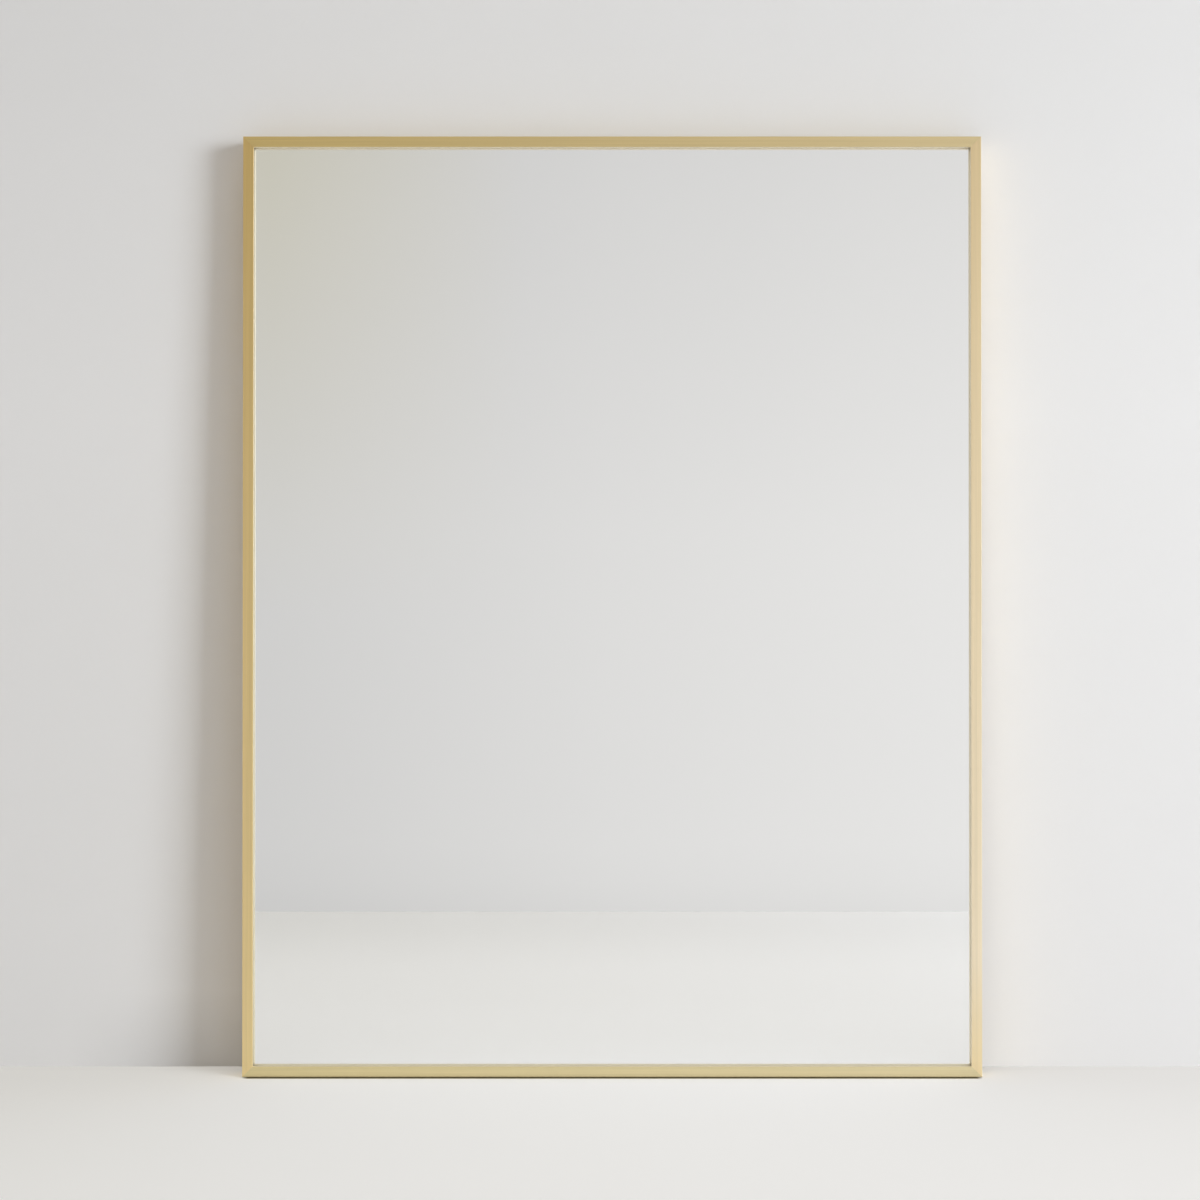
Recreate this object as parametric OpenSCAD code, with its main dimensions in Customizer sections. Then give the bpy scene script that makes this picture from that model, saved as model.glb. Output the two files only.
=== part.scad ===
// Wall mirror in a thin metal frame.
//
// Four mitred rails of one section hold the glass, its silvering and a backing board between
// a front lip and the web of a rear channel. Bowed springs press that stack forward. Plates in
// the channel lock the corners, and two swinging rings behind the side rails hang it up.
//
// Millimetres. X runs to the right, Y to the back and Z up. The origin is on the floor, under
// the middle of the whole mirror's box.

/* [Frame outline] */
// Width over the outer edges
frame_w = 558.8; // [350:0.1:1000]
// Height over the outer edges
frame_h = 711.2; // [450:0.1:1500]
// Depth of the rails from the face to the back
frame_depth = 20; // [19:0.5:32]

/* [Rail section] */
// Width of the face that shows round the glass
face_w = 8; // [7:0.5:13]
// Thickness of the face
face_t = 1.5; // [1.2:0.1:2]
// Thickness of the outer wall and of the channel's inner leg
wall_t = 1.4; // [1:0.1:2]
// Depth from the face to the seat of the glass
lip_depth = 3.8; // [2.5:0.1:5]
// Thickness of the lip that the glass rests on
lip_t = 1.2; // [0.8:0.1:2]
// Radius on the two front edges of the face
edge_r = 0.5; // [0.2:0.1:0.9]
// Width of the rear channel over its outer wall and inner leg
channel_w = 15; // [14:0.5:20]
// Clear depth inside the rear channel
channel_gap = 3.2; // [3.1:0.1:5]
// Thickness of the channel's web
web_t = 1.2; // [0.8:0.1:1.6]
// Thickness of the channel's return lips
return_t = 1.2; // [0.8:0.1:1.8]
// Width of the slot between the return lips
slot_w = 5.6; // [5:0.1:6.5]
// Radius in the inside corners of the section
fillet_r = 0.4; // [0.2:0.1:0.6]

/* [Glass and backing] */
// Thickness of the glass
glass_t = 4; // [3:0.5:4]
// Thickness of the silvering with its paint coat
silver_t = 0.1; // [0.05:0.05:0.2]
// Bare margin of glass round the silvering
silver_margin = 0.8; // [0.5:0.1:2]
// Thickness of the backing board
board_t = 3; // [2:0.5:3.5]
// Space round the glass and the board inside the rails
edge_gap = 1; // [0.5:0.1:2]
// Flat ground on the edges of the glass
glass_arris = 0.4; // [0.2:0.1:0.8]

/* [Corner plates] */
// Length of each arm of a corner plate from the rail's outer edge
key_arm = 38; // [32:1:60]
// Thickness of the threaded plate
key_t = 2; // [1.6:0.1:2]
// Thickness of the shim under it
shim_t = 1; // [0.8:0.1:1]
// How much shorter each arm of the shim is
shim_short = 2; // [1:0.5:4]
// Corners taken off the ends of a plate's arms
key_chamfer = 1.5; // [0.5:0.1:3]
// Space each side of a plate in the channel
key_play = 0.2; // [0.1:0.05:0.4]
// Distance of a jack screw from the rail's outer edge
jack_place = 28; // [24:1:30]
// Diameter of a jack screw
jack_d = 4; // [3:0.5:4]
// Chamfer on the ends of the screws
screw_chamfer = 0.4; // [0.2:0.1:0.7]
// Width of a jack screw's driver slot
jack_slot_w = 0.7; // [0.5:0.1:1]
// Depth of a jack screw's driver slot
jack_slot_depth = 0.9; // [0.6:0.1:1.2]

/* [Spring clips] */
// Length of a clip along the rail
clip_len = 48; // [36:1:60]
// Width of a clip
clip_w = 14; // [8:0.5:16]
// Thickness of the spring strip
clip_t = 0.6; // [0.4:0.1:0.8]
// Inside radius of the toes that curl up at its ends
clip_toe_r = 1; // [0.6:0.1:1.4]
// How far round a toe curls, in degrees
clip_toe_turn = 80; // [40:5:90]
// Distance of a clip's outer edge from the rail's outer edge
clip_inset = 4.5; // [3.5:0.5:6]
// Place of the clips on a rail, as a share of the rail from its middle
clip_share = 0.26; // [0.15:0.01:0.32]

/* [Ring hangers] */
// Distance of the ring's pivot below the top of the frame
hanger_drop = 170; // [100:5:250]
// Width of a strap
strap_w = 7.6; // [6:0.2:8]
// Thickness of a strap
strap_t = 0.9; // [0.7:0.1:1.1]
// Length of a strap from the ring's pivot to its round end
strap_len = 26; // [25:1:36]
// Distance of the strap's screw below the pivot
strap_screw_drop = 19; // [18:0.5:20]
// Diameter of the ring's wire
ring_d = 2; // [1.6:0.1:2.2]
// Radial play of the ring in the knuckle
ring_play = 0.06; // [0.02:0.01:0.1]
// Width of the ring between the centres of its legs
ring_w = 11.4; // [11:0.1:12]
// Length of the ring's straight legs below the pivot
ring_leg = 6; // [4:0.1:7]
// Radius of the bends beside the knuckle, to the centre of the wire
ring_bend_r = 1.5; // [1.2:0.1:1.6]

/* [Hanger screw] */
// Diameter of the screw
screw_d = 4; // [3:0.5:4]
// Diameter of its head
screw_head_d = 7; // [6:0.5:7.5]
// Height of its head
screw_head_h = 2.1; // [1.6:0.1:2.4]
// Length under its head
screw_len = 5; // [4.5:0.1:5.2]
// Length of the cross recess in its head
cross_len = 3.5; // [2.5:0.1:4]
// Width of the recess
cross_w = 0.9; // [0.6:0.1:1.2]
// Depth of the recess
cross_depth = 1.2; // [0.8:0.1:1.3]
// Radial play of the screws in their plates
screw_play = 0.06; // [0.02:0.01:0.15]
// Length of the nut plate along the channel
nut_len = 18; // [14:1:30]
// Thickness of the nut plate
nut_t = 2; // [1.6:0.1:2.4]

/* [Wall bumpers] */
// Diameter of a bumper where it sticks to the frame
bumper_d = 12; // [9:0.5:14]
// Diameter of its flat end
bumper_end_d = 8.4; // [6:0.2:9]
// Height of a bumper
bumper_h = 4.5; // [4.3:0.1:8]
// Radius round its flat end
bumper_r = 0.8; // [0.4:0.1:1.2]

/* [Hidden] */
// Sides and corners are drawn at the bottom or bottom left and turned about Y into place.
// A side also names its two ends, in the order in which they lie along it once it is turned.
SIDES = [
    ["bottom", 0, "left", "right"],
    ["left", 90, "upper", "lower"],
    ["top", 180, "right", "left"],
    ["right", 270, "lower", "upper"]
];
CORNERS = [["bottom_left", 0], ["top_left", 90], ["top_right", 180], ["bottom_right", 270]];
HANDS = [["left", -1], ["right", 1]];
ENDS = [0, 1];

$fn = 64;
// Steps along a clip's bow and along each of its toes
bow_steps = 24;
toe_steps = 8;
// Small extra length with which a cut runs past what it cuts
over = 1;

// Depths, counted from the face of the frame to the back
glass_back = lip_depth + glass_t;
silver_back = glass_back + silver_t;
board_back = silver_back + board_t;
return_front = frame_depth - return_t;
web_back = return_front - channel_gap;
web_front = web_back - web_t;
clip_rise = web_front - board_back;
key_front = return_front - key_t;
shim_back = web_back + shim_t;

// Places in Y
face_y = -(frame_depth + bumper_h) / 2;
rear_y = face_y + frame_depth;

// The channel across its width, counted from the rail's outer edge
channel_in = wall_t;
channel_out = channel_w - wall_t;
channel_mid = (channel_in + channel_out) / 2;

// The hanger's knuckle, counted behind the frame's rear
knuckle_r = ring_d / 2 + ring_play;
pivot_out = strap_t + knuckle_r;
pivot_z = frame_h - hanger_drop;

pack_w = frame_w - 2 * (wall_t + edge_gap);
pack_h = frame_h - 2 * (wall_t + edge_gap);

gold = [0.83, 0.70, 0.45];
steel = [0.72, 0.73, 0.75];

function rail_len(turn) = turn % 180 == 0 ? frame_w : frame_h;

// Turns what is drawn on the bottom rail to the side named by its turn about Y.
// On the rail X runs along it, Z inward from its outer edge and Y back from its face.
module on_side(turn) {
    translate([0, face_y, frame_h / 2])
        rotate([0, turn, 0])
            translate([0, 0, -rail_len(turn + 90) / 2])
                children();
}

// The same for a corner: X and Z both run inward from the frame's outer corner
module on_corner(turn) {
    on_side(turn)
        translate([-rail_len(turn) / 2, 0, 0])
            children();
}

// Puts what is drawn on a side rail's rear face, at the ring's pivot, with Y pointing back
module on_hanger(hand) {
    translate([hand * (frame_w / 2 - channel_mid), rear_y, pivot_z])
        children();
}

// A right-angled corner of the section filled to a radius: dx and dy point into the open side
module inside_fillet(x, y, dx, dy) {
    translate([x, y])
        mirror([dx < 0 ? 1 : 0, 0])
            mirror([0, dy < 0 ? 1 : 0])
                difference() {
                    square(fillet_r);
                    translate([fillet_r, fillet_r])
                        circle(fillet_r);
                }
}

// A rectangle with its two corners at x = 0 rounded
module rounded_face(depth, width, r) {
    translate([r, 0])
        square([depth - r, width]);
    translate([0, r])
        square([r, width - 2 * r]);
    for (y = [r, width - r])
        translate([r, y])
            circle(r);
}

// Section of a rail: X is the depth behind the face, Y the distance in from the outer edge
module rail_section() {
    slot_side = (channel_out - channel_in - slot_w) / 2;
    union() {
        rounded_face(face_t, face_w, edge_r);
        translate([edge_r, 0])
            square([frame_depth - edge_r, wall_t]);
        translate([edge_r, face_w - lip_t])
            square([lip_depth - edge_r, lip_t]);
        translate([web_front, 0])
            square([web_t, channel_w]);
        translate([web_front, channel_out])
            square([frame_depth - web_front, wall_t]);
        translate([return_front, 0])
            square([return_t, channel_in + slot_side]);
        translate([return_front, channel_out - slot_side])
            square([return_t, channel_w - channel_out + slot_side]);
        inside_fillet(face_t, wall_t, 1, 1);
        inside_fillet(face_t, face_w - lip_t, 1, -1);
        inside_fillet(web_front, wall_t, -1, 1);
    }
}

// A rail is its section run along the side and cut at 45 degrees at both ends
module rail(side) {
    length = rail_len(side[1]);
    color(gold)
        on_side(side[1])
            intersection() {
                rotate([90, 0, 90])
                    linear_extrude(length, center = true)
                        rail_section();
                translate([0, frame_depth + over, 0])
                    rotate([90, 0, 0])
                        linear_extrude(frame_depth + 2 * over)
                            polygon([
                                [-length / 2, 0],
                                [length / 2, 0],
                                [length / 2 - channel_w, channel_w],
                                [-length / 2 + channel_w, channel_w]
                            ]);
            }
}

// A flat sheet of the glass's outline, between two depths behind the face
module sheet(w, h, front, back) {
    translate([-w / 2, face_y + front, (frame_h - h) / 2])
        cube([w, back - front, h]);
}

// The glass with its four long edges ground on the front and on the back
module mirror_glass() {
    color([0.75, 0.85, 0.82, 0.4])
        difference() {
            sheet(pack_w, pack_h, lip_depth, glass_back);
            for (side = SIDES, depth = [lip_depth, glass_back])
                on_side(side[1])
                    translate([0, depth, wall_t + edge_gap])
                        rotate([45, 0, 0])
                            cube([frame_h + frame_w, glass_arris, glass_arris], center = true);
        }
}

module mirror_silvering() {
    color([0.86, 0.88, 0.88])
        sheet(pack_w - 2 * silver_margin, pack_h - 2 * silver_margin, glass_back, silver_back);
}

module backing_board() {
    color([0.50, 0.38, 0.26])
        sheet(pack_w, pack_h, silver_back, board_back);
}

// Steps along an arc of a clip's middle line: [x, y, heading], for a heading that turns with the
// angle about the centre. The arc's own start is left out if it was the end of the last one.
function arc_path(x, y, r, from, to, turn, steps, first) = [
    for (i = [first:steps])
        let (a = from + (to - from) * i / steps)
            [x + r * cos(a), y + r * sin(a), a + turn]
];

// The points beside a path, at a distance to the left of it
function beside(path, d) = [for (p = path) [p[0] - d * sin(p[2]), p[1] + d * cos(p[2])]];

function reversed(list) = [for (i = [len(list) - 1:-1:0]) list[i]];

// A bowed strip whose toes curl up where they stand on the board, while its crown presses on
// the web. X runs along the rail, Y from the board towards the channel. The bow's circle
// touches the circle of each toe from outside, and both radii are taken at the strip's middle.
module clip_outline() {
    toe_r = clip_toe_r + clip_t / 2;
    toe_x = clip_len / 2 - toe_r - clip_t / 2;
    toe_y = toe_r + clip_t / 2;
    crown = clip_rise - clip_t / 2;
    drop = crown - toe_y;
    bow_r = (toe_x * toe_x + drop * drop - toe_r * toe_r) / (2 * (toe_r + drop));
    slope = asin(toe_x / (bow_r + toe_r));
    path = concat(
        arc_path(-toe_x, toe_y, toe_r, -90 - clip_toe_turn, slope - 90, 90, toe_steps, 0),
        arc_path(0, crown - bow_r, bow_r, 90 + slope, 90 - slope, -90, bow_steps, 1),
        arc_path(toe_x, toe_y, toe_r, -90 - slope, clip_toe_turn - 90, 90, toe_steps, 1)
    );
    polygon(concat(beside(path, clip_t / 2), reversed(beside(path, -clip_t / 2))));
}

module spring_clip(side, end) {
    color(steel)
        on_side(side[1])
            translate([(2 * end - 1) * clip_share * rail_len(side[1]), board_back, clip_inset])
                linear_extrude(clip_w)
                    clip_outline();
}

// An L plate that lies in the channel of two rails, between two depths behind the face
module corner_plate(arm, front, back) {
    low = channel_in + key_play;
    high = channel_out - key_play;
    end = arm - key_chamfer;
    translate([0, back, 0])
        rotate([90, 0, 0])
            linear_extrude(back - front)
                polygon([
                    [low, low],
                    [end, low],
                    [arm, low + key_chamfer],
                    [arm, high - key_chamfer],
                    [end, high],
                    [high, high],
                    [high, end],
                    [high - key_chamfer, arm],
                    [low + key_chamfer, arm],
                    [low, end]
                ]);
}

// Places a jack screw's axis on each arm of a corner, pointing back from the face, with its
// driver slot along the arm
module at_jacks() {
    for (arm = [[jack_place, channel_mid, 0], [channel_mid, jack_place, 90]])
        translate([arm[0], 0, arm[1]])
            rotate([-90, 0, 0])
                rotate([0, 0, arm[2]])
                    children();
}

module corner_key(corner) {
    color(steel)
        on_corner(corner[1])
            difference() {
                corner_plate(key_arm, key_front, return_front);
                at_jacks()
                    cylinder(h = frame_depth + over, d = jack_d + 2 * screw_play);
            }
}

module corner_shim(corner) {
    color(steel)
        on_corner(corner[1])
            corner_plate(key_arm - shim_short, web_back, shim_back);
}

// A round rod along Z, with both ends chamfered
module chamfered_rod(length, d) {
    cylinder(h = screw_chamfer, d1 = d - 2 * screw_chamfer, d2 = d);
    translate([0, 0, screw_chamfer])
        cylinder(h = length - 2 * screw_chamfer, d = d);
    translate([0, 0, length - screw_chamfer])
        cylinder(h = screw_chamfer, d1 = d, d2 = d - 2 * screw_chamfer);
}

// Slotted screws in the keys: their ends bear on the shim and spread the two plates apart
module jack_screws() {
    color(steel)
        for (corner = CORNERS)
            on_corner(corner[1])
                at_jacks()
                    difference() {
                        translate([0, 0, shim_back])
                            chamfered_rod(frame_depth - shim_back, jack_d);
                        translate([-jack_d, -jack_slot_w / 2, frame_depth - jack_slot_depth])
                            cube([2 * jack_d, jack_slot_w, jack_slot_depth + over]);
                    }
}

// The screw of a hanger: its axis points back, from the rail's rear face
module at_hanger_screw() {
    translate([0, 0, -strap_screw_drop])
        rotate([-90, 0, 0])
            children();
}

// A plate in the channel, held up against the return lips by the screw
module hanger_nut(hand) {
    width = channel_out - channel_in - 2 * key_play;
    color(steel)
        on_hanger(hand[1])
            difference() {
                translate([-width / 2, -return_t - nut_t, -strap_screw_drop - nut_len / 2])
                    cube([width, nut_t, nut_len]);
                at_hanger_screw()
                    cylinder(h = 2 * frame_depth, d = screw_d + 2 * screw_play, center = true);
            }
}

// Side view of a strap, X pointing back and Y up: a flat strip that curls three quarters of a
// turn round the ring
module strap_outline() {
    difference() {
        union() {
            translate([pivot_out, 0])
                circle(knuckle_r + strap_t);
            translate([0, -strap_len])
                square([strap_t, strap_len]);
        }
        translate([pivot_out, 0])
            circle(knuckle_r);
        translate([strap_t, -strap_len])
            square([knuckle_r, strap_len]);
    }
}

module hanger_strap(hand) {
    color(steel)
        on_hanger(hand[1])
            difference() {
                intersection() {
                    rotate([90, 0, 90])
                        linear_extrude(strap_w, center = true)
                            strap_outline();
                    // Seen from behind, the strap ends in a half round
                    translate([0, 2 * pivot_out + over, 0])
                        rotate([90, 0, 0])
                            linear_extrude(2 * pivot_out + 2 * over) {
                                translate([0, strap_w / 2 - strap_len])
                                    circle(d = strap_w);
                                translate([-strap_w / 2, strap_w / 2 - strap_len])
                                    square([strap_w, strap_len + strap_w]);
                            }
                }
                at_hanger_screw()
                    cylinder(h = 2 * frame_depth, d = screw_d + 2 * screw_play, center = true);
            }
}

// A pan head with a cross recess on a plain shank
module hanger_screw(hand) {
    head_r = screw_head_d / 2;
    crown_r = (head_r * head_r + screw_head_h * screw_head_h) / (2 * screw_head_h);
    color(steel)
        on_hanger(hand[1])
            at_hanger_screw()
                translate([0, 0, strap_t])
                    difference() {
                        union() {
                            translate([0, 0, -screw_len])
                                chamfered_rod(screw_len + screw_chamfer, screw_d);
                            rotate_extrude()
                                intersection() {
                                    translate([0, screw_head_h - crown_r])
                                        circle(crown_r);
                                    square([head_r, screw_head_h]);
                                }
                        }
                        for (turn = [0, 90])
                            rotate([0, 0, turn])
                                translate([-cross_len / 2, -cross_w / 2, screw_head_h - cross_depth])
                                    cube([cross_len, cross_w, cross_depth + over]);
                    }
}

// A quarter or half turn of wire in the XZ plane, about the origin, from +X towards -Z
module wire_bend(r, angle) {
    rotate([90, 0, 0])
        rotate([0, 0, -angle])
            rotate_extrude(angle = angle)
                translate([r, 0])
                    circle(d = ring_d);
}

// The ring hangs from its straight bar, with the round bow lying over its strap
module d_ring(hand) {
    bow_r = ring_w / 2;
    bar = ring_w - 2 * ring_bend_r;
    color(steel)
        on_hanger(hand[1])
            translate([0, pivot_out, 0])
                union() {
                    rotate([0, 90, 0])
                        cylinder(h = bar, d = ring_d, center = true);
                    for (s = [-1, 1]) {
                        mirror([s < 0 ? 1 : 0, 0, 0])
                            translate([bar / 2, 0, -ring_bend_r])
                                rotate([0, -90, 0])
                                    wire_bend(ring_bend_r, 90);
                        translate([s * bow_r, 0, -ring_leg])
                            cylinder(h = ring_leg - ring_bend_r, d = ring_d);
                    }
                    translate([0, 0, -ring_leg])
                        wire_bend(bow_r, 180);
                }
}

// A soft stud with tapered sides and a rounded flat end, stuck over the mitre
module wall_bumper(corner) {
    base_r = bumper_d / 2;
    end_r = bumper_end_d / 2;
    color([0.80, 0.80, 0.78])
        on_corner(corner[1])
            translate([channel_mid, frame_depth, channel_mid])
                rotate([-90, 0, 0])
                    rotate_extrude() {
                        polygon([
                            [0, 0],
                            [base_r, 0],
                            [end_r, bumper_h - bumper_r],
                            [0, bumper_h - bumper_r]
                        ]);
                        translate([0, bumper_h - bumper_r])
                            square([end_r - bumper_r, bumper_r]);
                        intersection() {
                            translate([end_r - bumper_r, bumper_h - bumper_r])
                                circle(bumper_r);
                            translate([end_r - bumper_r, bumper_h - bumper_r])
                                square(bumper_r);
                        }
                    }
}

for (side = SIDES) {
    rail(side);
    for (end = ENDS)
        spring_clip(side, end);
}
mirror_glass();
mirror_silvering();
backing_board();
jack_screws();
for (corner = CORNERS) {
    corner_key(corner);
    corner_shim(corner);
    wall_bumper(corner);
}
for (hand = HANDS) {
    hanger_nut(hand);
    hanger_strap(hand);
    hanger_screw(hand);
    d_ring(hand);
}
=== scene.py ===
# %% [markdown]
# A wall mirror in a thin gold frame
#
# The object is a sheet of silvered glass held by four mitred metal rails. It stands on a pale
# floor and leans on a wall. Its sizes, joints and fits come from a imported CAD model, which is
# loaded here as a fixed frame, and this script gives every piece its looks.
#
# A mirror is a hard thing to picture, because most of what is seen is the room in front of it.
# So the script takes as much care over the room as over the mirror itself.

# %% Load the frame
import math

import bmesh
import bpy
from mathutils import Matrix, Vector


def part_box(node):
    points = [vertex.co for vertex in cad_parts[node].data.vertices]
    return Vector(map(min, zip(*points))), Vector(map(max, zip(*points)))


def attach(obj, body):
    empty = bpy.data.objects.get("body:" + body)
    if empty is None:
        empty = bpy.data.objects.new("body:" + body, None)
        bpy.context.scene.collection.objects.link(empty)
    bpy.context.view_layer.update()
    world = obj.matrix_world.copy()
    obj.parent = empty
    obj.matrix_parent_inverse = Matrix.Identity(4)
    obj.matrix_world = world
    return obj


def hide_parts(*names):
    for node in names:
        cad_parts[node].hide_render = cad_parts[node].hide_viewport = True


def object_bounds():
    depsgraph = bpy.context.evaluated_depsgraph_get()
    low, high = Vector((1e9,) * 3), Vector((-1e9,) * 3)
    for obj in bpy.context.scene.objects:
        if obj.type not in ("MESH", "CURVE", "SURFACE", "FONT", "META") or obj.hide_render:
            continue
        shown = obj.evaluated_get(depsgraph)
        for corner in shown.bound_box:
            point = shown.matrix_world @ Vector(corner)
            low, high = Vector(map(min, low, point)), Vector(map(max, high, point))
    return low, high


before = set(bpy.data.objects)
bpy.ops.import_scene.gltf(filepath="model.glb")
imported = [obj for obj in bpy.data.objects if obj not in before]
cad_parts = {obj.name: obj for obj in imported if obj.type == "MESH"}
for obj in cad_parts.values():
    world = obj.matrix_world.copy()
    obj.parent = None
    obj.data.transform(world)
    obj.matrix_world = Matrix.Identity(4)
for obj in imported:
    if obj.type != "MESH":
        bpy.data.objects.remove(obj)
cad_low, cad_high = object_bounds()
MM = 0.001
scene = bpy.context.scene
print("CAD box in mm:", [round(side / MM, 1) for side in cad_high - cad_low])

# %% [markdown]
# The frame's main measures
#
# Sizes that can be read from the frame are read from it, so that the looks follow when the CAD
# model changes. The depths behind the face come from the neighbours: the glass starts where the
# lip ends, and the springs end where the web of the rear channel begins.

# %% Measure the frame
rail_low, rail_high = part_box("frame_bottom_rail")
face_y = rail_low.y
frame_w = rail_high.x - rail_low.x
frame_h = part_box("frame_left_rail")[1].z
frame_depth = rail_high.y - face_y
channel_w = rail_high.z - rail_low.z
channel_mid = channel_w / 2


def depth_to(node, end):
    """How far behind the face a node's front (end 0) or back (end 1) lies."""
    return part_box(node)[end].y - face_y


glass_seat = depth_to("mirror_glass", 0)
web_front = depth_to("spring_clip_bottom_left", 1)
web_back = depth_to("corner_shim_bottom_left", 0)
return_front = depth_to("corner_key_bottom_left", 1)
print(f"frame {frame_w / MM:.1f} by {frame_h / MM:.1f} mm, {frame_depth / MM:.1f} mm deep")

# %% [markdown]
# The camera
#
# The photograph is taken square on, from a little below the middle of the mirror. A camera two
# metres away with a long lens keeps the rails parallel, and a slight tilt upward puts the frame
# where the photograph has it. Turning the camera by 90 degrees about X makes it look along +Y.

# %% Place the camera
EYE = Vector((-9.2, -1960.3, 344.7)) * MM
TILT = math.radians(0.455)
LENS = 77.3

camera_data = bpy.data.cameras.new("camera")
camera_data.lens = LENS
camera = bpy.data.objects.new("camera", camera_data)
camera.location = EYE
camera.rotation_euler = (math.radians(90) + TILT, 0, 0)
scene.collection.objects.link(camera)
scene.camera = camera
print("the camera stands", round(-EYE.y, 2), "m in front of the mirror")

# %% [markdown]
# Helpers for shader nodes
#
# Materials are built from nodes in code. One small function adds a node, sets its properties
# and fills its inputs: an input is either joined to another node's output or given a number or
# a colour. A material then reads from top to bottom, in the order in which its colours are mixed.

# %% Shader helpers
def fill(tree, node, inputs):
    """Joins inputs of a node to other nodes' outputs, or gives them a number or a colour."""
    for name, value in inputs.items():
        socket = node.inputs[name]
        if isinstance(value, bpy.types.NodeSocket):
            tree.links.new(value, socket)
        else:
            socket.default_value = (*value, 1) if socket.type == "RGBA" else value


def add(tree, kind, inputs=None, **settings):
    """Adds a shader node, sets its properties and fills its inputs."""
    node = tree.nodes.new("ShaderNode" + kind)
    for name, value in settings.items():
        setattr(node, name, value)
    fill(tree, node, inputs or {})
    return node


def math_node(tree, operation, first, second):
    """The result of a sum, product or the like of two values."""
    return add(tree, "Math", {0: first, 1: second}, operation=operation).outputs[0]


def absolute(tree, value):
    """A value without its sign."""
    return add(tree, "Math", {0: value}, operation="ABSOLUTE").outputs[0]


def ranged(tree, value, low, high):
    """A value between 0 and 1 stretched to run from low to high."""
    return add(tree, "MapRange", {"Value": value, "To Min": low, "To Max": high}).outputs[0]


def share_between(tree, value, start, end):
    """0 where a value is at the start, 1 where it has reached the end."""
    return add(tree, "MapRange", {"Value": value, "From Min": start, "From Max": end}).outputs[0]


def ramp_along(tree, value, stops):
    """A level that changes along a line, given as a dictionary of place and level."""
    start, end = min(stops), max(stops)
    ramp = add(tree, "ValToRGB", {0: share_between(tree, value, start, end)})
    for index, (place, level) in enumerate(sorted(stops.items())):
        position = (place - start) / (end - start)
        if index < 2:
            element = ramp.color_ramp.elements[index]
            element.position = position
        else:
            element = ramp.color_ramp.elements.new(position)
        element.color = (level, level, level, 1)
    return ramp.outputs[0]


def mixed(tree, factor, first, second):
    """A colour between two others, which are the inputs 6 and 7 of a mix of colours."""
    return add(tree, "Mix", {0: factor, 6: first, 7: second}, data_type="RGBA").outputs[2]


def dimmed(tree, colour, level):
    """A colour multiplied by a level, which is 1 where the colour stays as it is."""
    return add(tree, "VectorMath", {0: colour, 1: level}, operation="MULTIPLY").outputs[0]


def new_material(name, inputs=None):
    """A material, its tree and its main shader, with inputs of that shader filled."""
    material = bpy.data.materials.new(name)
    material.use_nodes = True
    tree = material.node_tree
    shader = tree.nodes["Principled BSDF"]
    fill(tree, shader, inputs or {})
    return material, tree, shader


def show(tree, surface):
    """Makes a shader's output what a material shows."""
    tree.links.new(surface, tree.nodes["Material Output"].inputs["Surface"])


def object_space(tree, scale=(1, 1, 1)):
    """Places on the object in metres, which Mapping may stretch along an axis."""
    place = add(tree, "TexCoord").outputs["Object"]
    return add(tree, "Mapping", {"Vector": place, "Scale": scale}).outputs[0]


def axes_of(tree, vector):
    """The X, Y and Z of a place or a direction."""
    return add(tree, "SeparateXYZ", {0: vector}).outputs


def roughen(tree, shader, height, strength, depth):
    """Lets a surface seem to rise and fall with a value, up to a depth."""
    bump = add(tree, "Bump", {"Height": height, "Strength": strength, "Distance": depth})
    fill(tree, shader, {"Normal": bump.outputs[0]})


# %% [markdown]
# The stage
#
# The floor and the wall are wide and matt, and run out into the plain tone of the world, so no
# horizon and no glare near the lamp shows in the other views. The wall has to look right to the
# camera and must not darken the back of the mirror, so it is a single sheet: lamps and mirrored
# light pass through it, and its rear side is transparent. The real mirror leans back a little: it
# stands on the rear lower edge of its frame, and its foot is further from the wall than its
# top. Here the mirror is upright, so the floor and the wall lean instead, by the same angle.
#
# A wide lamp leaves little shade in narrow gaps, so some of it is painted: a painted shadow lies
# along the foot of the frame, and the wall has painted shade in the corner by the floor and up
# high. The floor also glows very faintly where it is seen, most of all half a metre in front of
# the mirror: a painted glow that stands for the light that comes from the rest of the room. Floor
# and wall are also painted a little lighter towards the window side.

# %% Floor and wall
WORLD_SHOWN = 0.82
SHOWN_COLOUR = (1.0, 0.998, 0.99)
LEAN = math.radians(1.5)
FLOOR_SIZE = 14.0
FLOOR_MIDDLE = (0, -0.6, 0)
FLOOR_END_START, FLOOR_END = 1.05, 1.7
FLOOR_REACH = 0.45
# Painted light: the floor's colour runs lighter and a little bluer towards the window side.
FLOOR_PAINTED_DIM_LEFT = (0.79, 0.79, 0.79)
FLOOR_PAINTED_LIT_RIGHT = (0.88, 0.88, 0.90)
# Painted shadow: the colour of a dark strip along the frame's foot; the STRIP values give its reach.
FLOOR_PAINTED_SHADOW = (0.19, 0.16, 0.095)
# Painted glow: how strongly the floor glows where it is seen, by distance in front of the mirror.
FLOOR_PAINTED_GLOW = {-1.2: 0.06, -0.75: 0.125, -0.35: 0.125, -0.05: 0.085}
STRIP_START, STRIP_FULL = 5 * MM, 2.5 * MM
STRIP_BEHIND = 1 * MM
STRIP_SIDE = 4 * MM
WALL_W = 6.0
WALL_H = 2.6
WALL_END_START, WALL_END = 0.5, 0.9
WALL_REACH = 0.5
# Painted light: the wall runs a little lighter towards the window side.
WALL_PAINTED_DIM_LEFT = (0.785, 0.775, 0.785)
WALL_PAINTED_LIT_RIGHT = (0.81, 0.80, 0.81)
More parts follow.
